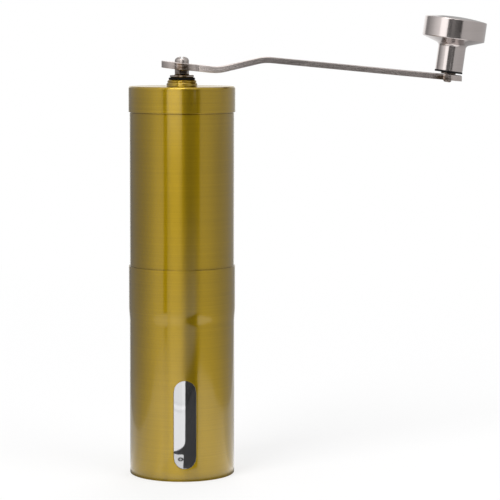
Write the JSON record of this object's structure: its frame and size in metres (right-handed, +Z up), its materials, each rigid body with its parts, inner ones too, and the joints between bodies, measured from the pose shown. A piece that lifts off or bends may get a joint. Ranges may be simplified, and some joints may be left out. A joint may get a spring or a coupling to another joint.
{
  "type": "manual coffee grinder",
  "caption": "Slim manual coffee grinder with a gold-tone steel body, a windowed container, a slip-on lid, conical ceramic burrs and a lift-off cranked handle with a knob.",
  "frame": {"origin": "centre of the container's round base, on the surface that the grinder stands on", "axes": "+Z up along the body and the shaft, +X from the shaft towards the knob at rest, -Y the side with the window, which the picture looks at"},
  "size_m": [0.168, 0.0504, 0.2172],
  "materials": {
    "gold_steel": "gold-tone steel, finely brushed round the body, with a soft sheen",
    "steel": "bare stainless steel with a fine satin sheen",
    "clear_window": "clear and smooth",
    "black_rubber": "matt black",
    "dark_plastic": "dark grey, fine-grained",
    "brass": "turned, plain",
    "ceramic": "unglazed, off-white"
  },
  "bodies": {
    "container": {"container_tube": "gold_steel", "container_base": "gold_steel", "window_pane": "clear_window"},
    "upper": {"upper_tube": "gold_steel", "burr_carrier": "dark_plastic", "burr_retainer": "dark_plastic", "shaft_bush": "brass", "outer_burr": "ceramic"},
    "lid": {"lid": "gold_steel", "lid_grommet": "black_rubber"},
    "drive_shaft": {"shaft": "steel", "shaft_clip": "steel", "upper_spring_washer": "steel", "burr_spring": "steel"},
    "inner_burr": {"inner_burr": "ceramic", "click_plate": "steel", "lower_spring_washer": "steel"},
    "adjuster": {"adjusting_nut": "dark_plastic", "nut_insert": "brass"},
    "crank": {"drive_hub": "steel", "crank_arm": "steel", "crank_screw": "steel", "knob_axle": "steel", "knob_washer": "steel", "axle_clip": "steel"},
    "knob": {"knob_core": "black_rubber", "knob_shell": "steel"}
  },
  "joints": [
    {"name": "body_lift", "type": "slide", "parent": "container", "child": "upper", "axis": [0, 0, 1], "range_m": [0, 0.045]},
    {"name": "crank_turn", "type": "hinge", "parent": "upper", "child": "drive_shaft", "pos_m": [0, 0, 0.112], "axis": [0, 0, 1], "continuous": true},
    {"name": "crank_pull_off", "type": "slide", "parent": "drive_shaft", "child": "crank", "axis": [0, 0, 1], "range_m": [0, 0.06]},
    {"name": "lid_lift", "type": "slide", "parent": "upper", "child": "lid", "axis": [0, 0, 1], "range_m": [0, 0.03]},
    {"name": "knob_spin", "type": "hinge", "parent": "crank", "child": "knob", "pos_m": [0.1248, 0, 0.18826], "axis": [0.1323, 0, 0.9912], "continuous": true},
    {"name": "burr_gap", "type": "slide", "parent": "drive_shaft", "child": "inner_burr", "axis": [0, 0, -1], "range_m": [0, 0.00125], "deforming": ["burr_spring"]},
    {"name": "adjuster_turn", "type": "hinge", "parent": "inner_burr", "child": "adjuster", "pos_m": [0, 0, 0.0756], "axis": [0, 0, -1], "range_deg": [0, 540]}
  ],
  "couplings": [
    {"joint": "lid_lift", "follows": "crank_pull_off", "ratio": 0.5},
    {"joint": "burr_gap", "follows": "adjuster_turn", "m_per_rad": 0.00012732}
  ]
}
